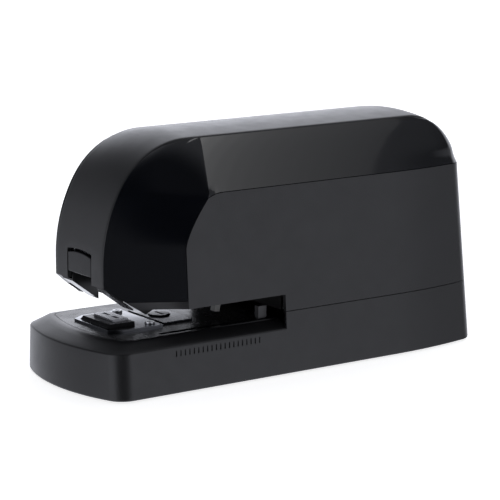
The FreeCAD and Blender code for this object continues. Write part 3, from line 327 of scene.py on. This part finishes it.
FINISH = {
    "black_shell": material("matte_black", (0.008, 0.008, 0.009), 0.36, grain=(1500, 0.7, 0.07), edge_highlight=0.10,
                            gloss_change=0.025),
    "gloss_black": material("piano_black", (0.0025, 0.003, 0.0045), 0.05, grain=(260, 0.05, 0.01),
                            mottle=0.05, coat=0.3, gloss_change=0.015),
    "inner_black": material("plain_black", (0.007, 0.007, 0.008), 0.36, grain=(1800, 0.3, 0.03), edge_highlight=0.08),
    "light_plastic": material("light_grey", (0.20, 0.20, 0.195), 0.40, grain=(1500, 0.2, 0.02)),
    "white_plastic": material("acetal", (0.74, 0.73, 0.69), 0.38, grain=(1500, 0.2, 0.02), mottle=0.04),
    "rubber": material("rubber_black", (0.025, 0.025, 0.025), 0.85, grain=(1200, 0.6, 0.06)),
    "plated_steel": material("zinc_plate", (0.62, 0.63, 0.65), 0.30, metal=1.0, grain=(700, 0.15, 0.01),
                             mottle=0.10, brush=(1, 0.2, 1)),
    "bright_steel": material("nickel", (0.80, 0.81, 0.84), 0.14, metal=1.0, grain=(900, 0.08, 0.01),
                             mottle=0.04, brush=(0.2, 1, 1), gloss_change=0.05),
    "hard_steel": material("hard_steel", (0.48, 0.48, 0.50), 0.26, metal=1.0, grain=(1500, 0.2, 0.01),
                           mottle=0.08, brush=(0.15, 1, 1)),
    "brass": material("brass", (0.70, 0.50, 0.22), 0.24, metal=1.0, grain=(900, 0.1, 0.01)),
    "battery": material("battery_sleeve", (0.05, 0.07, 0.16), 0.30, grain=(600, 0.1, 0.01)),
    "circuit": material("solder_mask", (0.02, 0.14, 0.06), 0.30, grain=(1000, 0.3, 0.03)),
}


# Nodes whose surface differs from the rest of their slot. The darker copies for the deck, throat lining,
# rear deck plate, anvil plate and head guides are painted shade from the overhanging head.
NODE_FINISH_AND_PAINTED_SHADE = {
    # Painted shade: the deck under the overhanging head gets a darker, less reflective black than its shell
    # slot.
    "paper_deck": material("deck_black_painted_shade", (0.004, 0.004, 0.005), 0.22, spec=0.12, grain=(1500, 0.4, 0.04)),
    # Painted shade: the throat's lining gets a darker, less reflective black for the shade under the
    # housing.
    "throat_liner": material("liner_black_painted_shade", (0.004, 0.004, 0.004), 0.45, spec=0.15, grain=(1500, 0.4, 0.04)),
    # Painted shade: the plated steel plate at the back of the throat is darkened to near black for the shade
    # under the housing.
    "rear_deck_plate": material("nickel_painted_shade", (0.035, 0.035, 0.04), 0.24, metal=1.0,
                                grain=(900, 0.1, 0.01)),
    # Painted shade and painted highlight: the nickel anvil is darkened for the shade under the head, and its
    # edges are painted bright.
    "anvil_plate": material("anvil_nickel_painted_shade", (0.17, 0.175, 0.19), 0.20, metal=1.0, grain=(900, 0.08, 0.01),
                            mottle=0.10, edge_highlight=0.8, brush=(0.2, 1, 1), gloss_change=0.05),
    "anvil_block": material("block_black", (0.003, 0.003, 0.004), 0.22, spec=0.08, grain=(260, 0.05, 0.01),
                            edge_highlight=0.3),
    "deck_button": material("button_black", (0.003, 0.003, 0.004), 0.18, spec=0.15, grain=(260, 0.05, 0.01)),
    # Painted shade: the steel guides in the mouth's recess get a near-black finish for the shade there.
    "head_guides": material("guide_black_painted_shade", (0.005, 0.005, 0.006), 0.14, spec=0.3, grain=(600, 0.1, 0.01),
                            edge_highlight=0.3),
    "drawer_front": material("insert_black", (0.006, 0.006, 0.007), 0.34, spec=0.34,
                             grain=(1500, 0.7, 0.07), edge_highlight=0.15),
    "depth_guide": material("guide_grey", (0.035, 0.035, 0.038), 0.42, grain=(1500, 0.5, 0.05), edge_highlight=0.10),
}


# ---- top cap ---------------------------------------------------------------------------
def cap_profile():
    """Stations (y, z, rise share) from the nose's lower edge over the top to the back."""
    stations = [(NOSE_Y, z, 0.0) for z in (NOSE_LOW_Z, 52.0, 55.0, NOSE_STRAIGHT_Z)]
    centre = (NOSE_Y + NOSE_RADIUS, NOSE_STRAIGHT_Z)
    for angle in spread(0, NOSE_TURN, 15)[1:]:
        stations.append((centre[0] - NOSE_RADIUS * math.cos(angle),
                         centre[1] + NOSE_RADIUS * math.sin(angle), 0.0))
    small = brow_radius(0)
    middle = (KNEE_Y + small * math.cos(NOSE_TURN), CAP_TOP_Z - small)
    for angle in spread(NOSE_TURN, math.pi / 2, 15)[1:]:
        lift = (angle - NOSE_TURN) / (math.pi / 2 - NOSE_TURN)
        stations.append((middle[0] - small * math.cos(angle), middle[1] + small * math.sin(angle),
                         math.sin(lift * math.pi / 2)))
    for y in spread(middle[0], REAR_CENTRE_Y, 15)[1:]:
        stations.append((y, CAP_TOP_Z, 1.0))
    for angle in spread(math.pi / 2, DRAFT, 14)[1:]:
        stations.append((REAR_CENTRE_Y + REAR_RADIUS * math.cos(angle),
                         CAP_TOP_Z - REAR_RADIUS + REAR_RADIUS * math.sin(angle), math.sin(angle)))
    for z in (82, BUTTON_PATCH[1], BUTTON_PATCH[0], *ROCKER_HOLE, 44.0, 37.0, PARTING_Z + 2 * SEAM):
        stations.append((tail_y(z), z, 0.0))
    return stations


def top_cap():
    half = CAP_HALF - SEAM
    flank = [MOUTH_HALF, 15, 19] + [half - part * CAP_EDGE for part in (1.0, 0.62, 0.30, 0.08, 0.0)]
    columns = [-x for x in reversed(flank)] + [-9, -6.8, -3.4, 0, 3.4, 6.8, 9] + flank
    rows = []
    for y, z, lift in cap_profile():
        row = []
        for x in columns:
            crown = CAP_CROWN * (1 - (x / half) ** 2) * lift
            arch = 0.0
            if y < -90 and abs(x) < MOUTH_HALF:
                fade = max(1 - abs(z - MOUTH_TOP_Z + MOUTH_ARCH) / 6, 0)
                arch = MOUTH_ARCH * (1 - (x / MOUTH_HALF) ** 2) * fade
            beyond = max(abs(x) - (half - CAP_EDGE), 0)
            fall = CAP_EDGE - math.sqrt(max(CAP_EDGE ** 2 - beyond ** 2, 0))
            front = fall * math.cos(lift * math.pi / 2) if y < 0 else 0
            row.append((x, y + front, z + crown + arch - fall * lift))
        rows.append(row)
    mouth_row = min(range(len(rows)), key=lambda i: abs(rows[i][0][2] - (MOUTH_TOP_Z - MOUTH_ARCH)))
    rear = {round(row[0][2], 1): i for i, row in enumerate(rows) if row[0][1] > 100}

    def keep(i, j):
        inside = abs((columns[j] + columns[j + 1]) / 2)
        if i < mouth_row and inside < MOUTH_HALF:
            return False
        in_hole_rows = i in (rear[ROCKER_HOLE[0]], rear[BUTTON_PATCH[1]])
        return not (in_hole_rows and inside < REAR_HOLE_HALF)

    skin = Skin()
    skin.grid(rows, keep)
    skin_ring(skin, rear_hole_border(columns, *BUTTON_PATCH))
    cap = skin.piece("cap_shell", middle=(0, 0, 75))
    shelled(cap, edge=0.45)
    finish_piece(cap, FINISH["black_shell"], "top_cap")


def rear_hole_border(columns, low, high):
    """Square border of the wall patch round the button's hole, counter-clockwise."""
    across = [x for x in columns if abs(x) <= REAR_HOLE_HALF]
    return [(x, low) for x in across] + [(x, high) for x in reversed(across)]


def skin_ring(skin, border):
    """Joins the square border to the button's round hole."""
    outer = []
    inner = []
    for x, z in border:
        angle = math.atan2(z - BUTTON_Z, x)
        outer.append((x, tail_y(z), z))
        hole_z = BUTTON_Z + BUTTON_HOLE_RADIUS * math.sin(angle)
        inner.append((BUTTON_HOLE_RADIUS * math.cos(angle), tail_y(hole_z), hole_z))
    skin.grid([outer + outer[:1], inner + inner[:1]])


# ---- glossy cheek and shoulder strip -----------------------------------------------------
LEG_SLOPE = (NOSE_LOW_Z - NOSE_KNEE[1]) / (NOSE_KNEE[0] - NOSE_Y)


def leg_front(z):
    """Y where the cheek starts at height z: slanted underside of the leg, then the cap's edge."""
    if z < NOSE_LOW_Z:
        return NOSE_Y + (NOSE_LOW_Z - z) / LEG_SLOPE
    return spine_front(z)


def cheek_point(y, z):
    """Flat cheek between the cap's edge and the side."""
    front = spine_front(z)
    share = (y - front) / (cheek_back(z) - front)
    return (CAP_HALF + SEAM + (side_x(z) - CAP_HALF - SEAM) * share, y, z)


def sunk(share):
    """How far the glossy surface dips towards the cap's edge, share 1 being at the edge."""
    return STRIP_SINK * share ** 5


def cheek_and_strip(side, name, node):
    skin = Skin()
    shares = [0, 0.03, 0.12, 0.25, 0.4, 0.6, 0.8, 0.94, 0.985, 1.0]
    levels = spread(MATTE_Z + SEAM, NOSE_LOW_Z, 4) + spread(NOSE_LOW_Z, VERTEX[1], 16)[1:]
    upper = spread(0, 1, 12)
    levels += [VERTEX[1] + t * (CAP_TOP_Z - VERTEX[1]) for t in upper[1:]]
    rows = []
    for z in levels:
        start = leg_front(z)
        seam = SEAM if z < VERTEX[1] else 0.0
        row = [cheek_point(start + (cheek_back(z) - seam - start) * share, z) for share in shares]
        rise = max((z - VERTEX[1]) / (CAP_TOP_Z - VERTEX[1]), 0)
        rows.append([(x, y, z - sunk(rise)) for x, y, z in row])
    skin.grid(rows)
    strip = []
    for share in upper:
        crease_z = VERTEX[1] + share * (CAP_TOP_Z - VERTEX[1])
        crease_y = cheek_back(crease_z)
        row = [(side_x(crease_z), crease_y, crease_z)]
        for y in (0.35, 0.9, 2.2, 4.5, 7.0):
            low = strip_low(VERTEX[0] + y) + SEAM
            z = low + share * (CAP_TOP_Z - low)
            row.append((side_x(z), crease_y + y, z))
        low = STRIP_Z + SEAM
        z = low + share * (CAP_TOP_Z - low)
        for y in spread(crease_y + 7, TAPER_Y, 8)[1:-1]:
            row.append((side_x(z), y, z))
        back = tail_y(z)
        reach = max(min((back - TAPER_Y) / 30, 1), 0.2)
        plan = rear_corner(side_x(z), back, REAR_CORNER * reach, CAP_HALF + SEAM, 8)
        row += [(x, min(y, back), z) for x, y in plan]
        strip.append([(x, y, z - sunk(share)) for x, y, z in row])
    skin.grid(strip)
    obj = skin.piece(name, side, middle=(side * 8, 0, 75))
    shelled(obj, thickness=2.0, edge=0.3)
    finish_piece(obj, FINISH["gloss_black"], node)


# ---- matte run under the cheek --------------------------------------------------------
LEG_SHARES = (0, 0.03, 0.12, 0.30, 0.5, 0.7, 0.85, 1.0)
TIP_BACK = 3                 # the leg's tip reaches back to the share with this number


def leg_side():
    """Matte run under the cheek, from the leg's slanted underside to the side panel."""
    rows = []
    for z in spread(THROAT_TOP_Z, MATTE_Z, 4):
        start = leg_front(z)
        lean = LEG_CHAMFER * (MATTE_Z - z) / (MATTE_Z - THROAT_TOP_Z)
        row = []
        for share in LEG_SHARES:
            x, y, z = cheek_point(start + (CHEEK_BACK_Y + SEAM - start) * share, z)
            row.append(tucked(x, y, z, lean * (1 - share ** 4)))
        rows.append(row)
    return rows


def tucked(x, y, z, depth):
    """The point moved inwards across the flat cheek."""
    return (x - 0.91 * depth, y + 0.41 * depth, z)


def leg_tip():
    """Pointed lower end of the leg, under the level of the throat's roof."""
    rows = []
    for z in spread(NOSE_KNEE[1] + 0.15, THROAT_TOP_Z, 4):
        rise = (z - NOSE_KNEE[1]) / (THROAT_TOP_Z - NOSE_KNEE[1])
        start = leg_front(z)
        top = leg_front(THROAT_TOP_Z)
        width = (CHEEK_BACK_Y + SEAM - top) * LEG_SHARES[TIP_BACK] * rise
        shares = LEG_SHARES[:TIP_BACK + 1]
        spans = [share / LEG_SHARES[TIP_BACK] for share in shares]
        row = []
        for share, span in zip(shares, spans):
            row.append(tucked(*cheek_point(start + width * span, z), LEG_CHAMFER * (1 - share ** 4)))
        rows.append(row)
    return rows


# ---- matte side panel --------------------------------------------------------------------
def side_panel(side, name, node):
    skin = Skin()
    ahead = spread(0, 1, 9)
    behind = spread(THROAT_END_Y, TAPER_Y, 7)
    levels = spread(0, 1, 17)

    def row_at(share):
        base = THROAT_TOP_Z
        vertex_z = base + (VERTEX[1] - SEAM - base) * share
        start = cheek_back(vertex_z) + SEAM
        row = []
        for part in ahead:
            y = start + (THROAT_END_Y - start) * part ** 1.6
            top = strip_low(y) - SEAM
            z = base + (top - base) * share
            row.append((side_x(z), y, z))
        z = base + (STRIP_Z - SEAM - base) * share
        row += [(side_x(z), y, z) for y in behind[1:-1]]
        row += [(x, y, z) for x, y in rear_corner(side_x(z), tail_y(z), REAR_CORNER, CAP_HALF + SEAM, 9)]
        return row
    skin.grid([row_at(share) for share in levels])
    lower = []
    for z in (PARTING_Z + 2 * SEAM, 33, 36, THROAT_TOP_Z):
        row = [(side_x(z), y, z) for y in behind[:-1]]
        row += [(x, y, z) for x, y in rear_corner(side_x(z), tail_y(z), REAR_CORNER, CAP_HALF + SEAM, 9)]
        lower.append(row)
    skin.grid(lower)
    skin.grid(leg_side())
    skin.grid(leg_tip())
    obj = skin.piece(name, side, middle=(side * 5, 0, 60))
    shelled(obj, edge=0.35)
    finish_piece(obj, FINISH["black_shell"], node)


# ---- base --------------------------------------------------------------------------------
def base_outline(z, inset):
    """Half plan of the base at height z: (x, y) from the middle of the front to the back."""
    half = HALF_WIDTH - DRAFT * z - inset
    front = -HALF_LENGTH + 0.026 * z + inset
    back = HALF_LENGTH - DRAFT * z - inset
    bow = BOW_RADIUS - inset
    corner = max(FRONT_CORNER - inset, 1.0)
    bow_y = front + bow
    corner_x = half - corner
    corner_y = bow_y - math.sqrt((bow - corner) ** 2 - corner_x ** 2)
    lean = math.atan2(corner_x, bow_y - corner_y)
    plan = [(bow * math.sin(a), bow_y - bow * math.cos(a)) for a in spread(0, lean, 9)]
    for angle in spread(lean, math.pi / 2, 8)[1:]:
        plan.append((corner_x + corner * math.sin(angle), corner_y - corner * math.cos(angle)))
    straight = spread(plan[-1][1], THROAT_END_Y, 9)[1:]
    plan += [(half, y) for y in straight]
    plan += [(half, y) for y in spread(THROAT_END_Y, TAPER_Y, 6)[:-1]]
    plan += rear_corner(half, back, max(REAR_CORNER - inset, 1.0), 0.0, 9)
    return plan


def deck_outline(count_bow, count_corner, count_side):
    """Half plan of the rim's inner edge: bowed front, elliptical corner, straight side."""
    half = DECK_HALF + DECK_GAP
    front = DECK_FRONT_Y - DECK_GAP
    corner_end_y = front + 12
    bow, corner_depth = 4.4, 7.6
    plan = [(x, front + bow * (x / DECK_CORNER_X) ** 2) for x in spread(0, DECK_CORNER_X, count_bow)]
    for angle in spread(0.3, math.pi / 2, count_corner)[1:]:
        x = DECK_CORNER_X + (half - DECK_CORNER_X) * math.sin(angle)
        plan.append((x, corner_end_y - corner_depth * math.cos(angle)))
    return plan + [(half, y) for y in spread(corner_end_y, THROAT_END_Y, count_side)[1:]]


def base_shell():
    """Closed ring: outer wall, sloping rim in front, and the inner wall."""
    outer = base_outline(RIM_Z, 0)
    inner = deck_outline(9, 8, 9)
    front_count = len(inner)
    sections = []
    for index in range(len(outer)):
        sections.append(base_section(index, index < front_count, inner))
        if index == front_count - 1:
            sections.append(base_section(index + 1, False, inner))
    rows = [list(row) for row in zip(*sections)]
    mirrored_rows = [[(-x, y, z) for x, y, z in row] for row in rows]
    skin = Skin()
    skin.grid(rows + rows[:1])
    skin.grid(mirrored_rows + mirrored_rows[:1])
    obj = skin.piece("base_tub", middle=(0, 0, 10))
    rounded(obj, 0.3, angle=50)
    ruler_marks(obj)
    finish_piece(obj, FINISH["black_shell"], "base_shell")


def ruler_marks(obj):
    """Cuts the row of short upright marks into the base's +X side."""
    cutter = bmesh.new()
    face_x = HALF_WIDTH - DRAFT * MARK_Z
    for step in range(MARK_COUNT):
        made = bmesh.ops.create_cube(cutter, size=1)["verts"]
        bmesh.ops.scale(cutter, vec=Vector((2 * MARK_DEPTH, MARK_WIDTH, MARK_HEIGHT)) * MM, verts=made)
        place = Vector((face_x, MARK_Y + step * MARK_PITCH, MARK_Z)) * MM
        bmesh.ops.translate(cutter, vec=place, verts=made)
    mesh = bpy.data.meshes.new("mark_cutter")
    cutter.to_mesh(mesh)
    cutter.free()
    tool = bpy.data.objects.new("mark_cutter", mesh)
    bpy.context.scene.collection.objects.link(tool)
    cut = obj.modifiers.new("marks", "BOOLEAN")
    cut.object = tool
    cut.solver = "EXACT"
    shape = bpy.data.meshes.new_from_object(obj.evaluated_get(bpy.context.evaluated_depsgraph_get()))
    obj.modifiers.clear()
    obj.data = shape
    bpy.data.objects.remove(tool)


def base_section(index, in_front, inner):
    """Closed section of the wall at one point of the plan."""
    section = []
    for z, inset in ((FOOT_Z, 0.7), (FOOT_Z + 0.3, 0.2), (FOOT_Z + 0.9, 0), (8, 0), (17, 0)):
        x, y = base_outline(z, inset)[index]
        section.append((x, y, z))
    if in_front:
        low = base_outline(RIM_Z - 0.6, 0)[index]
        section.append((*low, RIM_Z - 0.6))
        start = base_outline(RIM_Z, 0)[index]
        end = inner[index]
        run = math.dist(start, end)
        for share in (0.012, 0.045, 0.25, 0.5, 0.72, 0.9, 1.0):
            x, y = blend(start, end, share)
            rise = min(4.3 * share * run / 9, DECK_Z - RIM_Z)
            soft = 0.25 if share == 0.012 else 0.0
            section.append((x, y, RIM_Z + rise - soft))
        x, y = end
        section.append((x, y, section[-1][2] - 1.4))
        section.append((*base_outline(RIM_Z, SHELL)[index], RIM_Z - 2.0))
    else:
        heights = (RIM_Z - 0.6, RIM_Z, 25.0, 27.0, 28.6, 29.6, 30.2, PARTING_Z)
        for z, inset in [(height, 0.0) for height in heights] + [(PARTING_Z, SHELL / 2)]:
            x, y = base_outline(z, inset)[index]
            section.append((x, y, z))
        section.append((*base_outline(PARTING_Z, SHELL)[index], PARTING_Z))
    section.append((*base_outline(17, SHELL)[index], 17))
    section.append((*base_outline(FOOT_Z, SHELL)[index], FOOT_Z))
    return section


# ---- CAD nodes that are shown as they are -------------------------------------------------
EDGE = {
    "paper_deck": 0.5, "anvil_plate": 0.25, "anvil_block": 0.45, "clinch_anvil": 0.3,
    "rear_deck_plate": 0.25, "deck_button": 0.4, "depth_guide": 0.5, "drawer_front": 0.5,
    "release_button": 0.5, "power_rocker": 0.4, "battery_door": 0.35, "bottom_cover": 0.35,
    "rubber_feet": 0.4, "paper_trigger": 0.3, "head_guides": 0.15, "throat_liner": 0.3,
}


def dress_nodes():
    """Finish and rounded edges for every CAD node that stays visible."""
    slots = {part["node"]: part["material_slot"] for part in frame["record"]["subparts"]}
    for name, node in nodes.items():
        node.data.materials.clear()
        node.data.materials.append(NODE_FINISH_AND_PAINTED_SHADE.get(name, FINISH[slots[name]]))
        if node.hide_render:
            continue
        merge = node.modifiers.new("merge", "WELD")
        merge.merge_threshold = 0.002 * MM
        flat = node.modifiers.new("flat", "DECIMATE")
        flat.decimate_type = "DISSOLVE"
        flat.angle_limit = math.radians(1.5)
        rounded(node, EDGE.get(name, 0.12), angle=35, segments=2)


# ---- stage -------------------------------------------------------------------------------
def floor():
    made = bmesh.new()
    bmesh.ops.create_grid(made, x_segments=8, y_segments=8, size=6.0)
    mesh = bpy.data.meshes.new("floor")
    made.to_mesh(mesh)
    made.free()
    obj = bpy.data.objects.new("floor", mesh)
    obj.location.z = -0.0002
    bpy.context.scene.collection.objects.link(obj)
    obj.visible_glossy = False
    pale = bpy.data.materials.new("pale_floor")
    pale.use_nodes = True
    shader = pale.node_tree.nodes["Principled BSDF"]
    shader.inputs["Base Color"].default_value = (0.93, 0.93, 0.93, 1)
    shader.inputs["Roughness"].default_value = 0.9
    shader.inputs["Emission Color"].default_value = (1, 1, 1, 1)
    shader.inputs["Emission Strength"].default_value = 0.8
    mesh.materials.append(pale)


# Boards that dim the surround: direction, then (cosine to it, strength) at the rim and inside.
BOARDS = {
    "front flag, keeps the cheeks black": ((0.90, -0.40, -0.05), (0.68, 1.0), (0.90, 0.08)),
    "left board, softens the nose": ((-0.72, -0.62, 0.30), (0.55, 1.0), (0.90, 0.42)),
    "rear board, fades the side to the back": ((0.0, 1.0, 0.0), (0.50, 1.28), (0.76, 0.48)),
    "corner board, calms the rear corner": ((-0.20, 0.94, -0.28), (0.82, 1.0), (0.97, 0.25)),
    "canopy, keeps the brow black": ((0.80, -0.15, 0.58), (0.80, 1.0), (0.94, 0.12)),
}
SKY = ((0, 0, 1), (0.12, 1.0), (0.42, 0.28))
SCREEN = ((-0.62, 0.75, 0.22), (0.61, 0.0), (0.82, 1.08))    # bright, behind; lights the top


def world():
    """White backdrop for the camera; reflections see a bright surround with dark boards."""
    made = bpy.data.worlds.new("studio")
    bpy.context.scene.world = made
    made.use_nodes = True
    tree = made.node_tree
    lit = tree.nodes["Background"]
    place = tree.nodes.new("ShaderNodeTexCoord")

    def level(direction, rim, inside):
        """Strength that changes smoothly with the angle to a direction."""
        angle = tree.nodes.new("ShaderNodeVectorMath")
        angle.operation = "DOT_PRODUCT"
        angle.inputs[1].default_value = direction
        tree.links.new(place.outputs["Generated"], angle.inputs[0])
        node = tree.nodes.new("ShaderNodeMapRange")
        node.interpolation_type = "SMOOTHSTEP"
        node.inputs["From Min"].default_value = rim[0]
        node.inputs["From Max"].default_value = inside[0]
        node.inputs["To Min"].default_value = rim[1]
        node.inputs["To Max"].default_value = inside[1]
        tree.links.new(angle.outputs["Value"], node.inputs["Value"])
        return node.outputs["Result"]

    def combine(operation, first, second):
        node = tree.nodes.new("ShaderNodeMath")
        node.operation = operation
        tree.links.new(first, node.inputs[0])
        tree.links.new(second, node.inputs[1])
        return node.outputs["Value"]

    surround = level(*SKY)
    for board in BOARDS.values():
        surround = combine("MULTIPLY", surround, level(*board))
    total = combine("ADD", surround, level(*SCREEN))
    tree.links.new(total, lit.inputs["Strength"])
    lit.inputs["Color"].default_value = (0.90, 0.92, 1.0, 1)
    white = tree.nodes.new("ShaderNodeBackground")
    white.inputs["Color"].default_value = (1, 1, 1, 1)
    seen = tree.nodes.new("ShaderNodeLightPath")
    choice = tree.nodes.new("ShaderNodeMixShader")
    tree.links.new(seen.outputs["Is Camera Ray"], choice.inputs["Fac"])
    tree.links.new(lit.outputs["Background"], choice.inputs[1])
    tree.links.new(white.outputs["Background"], choice.inputs[2])
    tree.links.new(choice.outputs["Shader"], tree.nodes["World Output"].inputs["Surface"])


def overhead_box(name, y0, y1, radiance):
    """Soft boxes facing down, high on each side, seen in the glossy shoulder strips."""
    width, height, offset = 0.34, 0.66, 0.41
    data = bpy.data.lights.new(name, "AREA")
    data.shape = "RECTANGLE"
    data.size = width
    data.size_y = y1 - y0
    data.energy = radiance * math.pi * width * (y1 - y0)
    for side in (1, -1):
        obj = bpy.data.objects.new(f"{name}_{side}", data)
        obj.location = (side * offset, (y0 + y1) / 2, height)
        obj.visible_camera = False
        bpy.context.scene.collection.objects.link(obj)


def lights():
    """A row of narrow boxes that fades from front to back, fast at first."""
    edges = spread(0.330, 0.580, 15)
    for step, (y0, y1) in enumerate(zip(edges, edges[1:])):
        fade = step / (len(edges) - 2)
        radiance = 0.62 - 0.42 * fade + 1.6 * math.exp(-fade * 7)
        overhead_box(f"box_{step}", y0, y1, radiance)


def camera():
    azimuth, elevation = math.radians(55.16), math.radians(11.41)
    data = bpy.data.cameras.new("camera")
    data.sensor_width = 36.0
    data.lens = 154.1
    data.clip_start = 0.01
    obj = bpy.data.objects.new("camera", data)
    obj.location = (0.8425, -0.5880, 0.2600)
    back = Vector((math.sin(azimuth) * math.cos(elevation), -math.cos(azimuth) * math.cos(elevation),
                   math.sin(elevation)))
    obj.rotation_euler = back.to_track_quat("Z", "Y").to_euler()
    bpy.context.scene.collection.objects.link(obj)
    bpy.context.scene.camera = obj


top_cap()
cheek_and_strip(1, "cheek_right", "right_cheek")
cheek_and_strip(-1, "cheek_left", "left_cheek")
side_panel(1, "panel_right", "right_side_panel")
side_panel(-1, "panel_left", "left_side_panel")
base_shell()
dress_nodes()
floor()
world()
lights()
camera()
bpy.context.scene.view_settings.view_transform = "Standard"
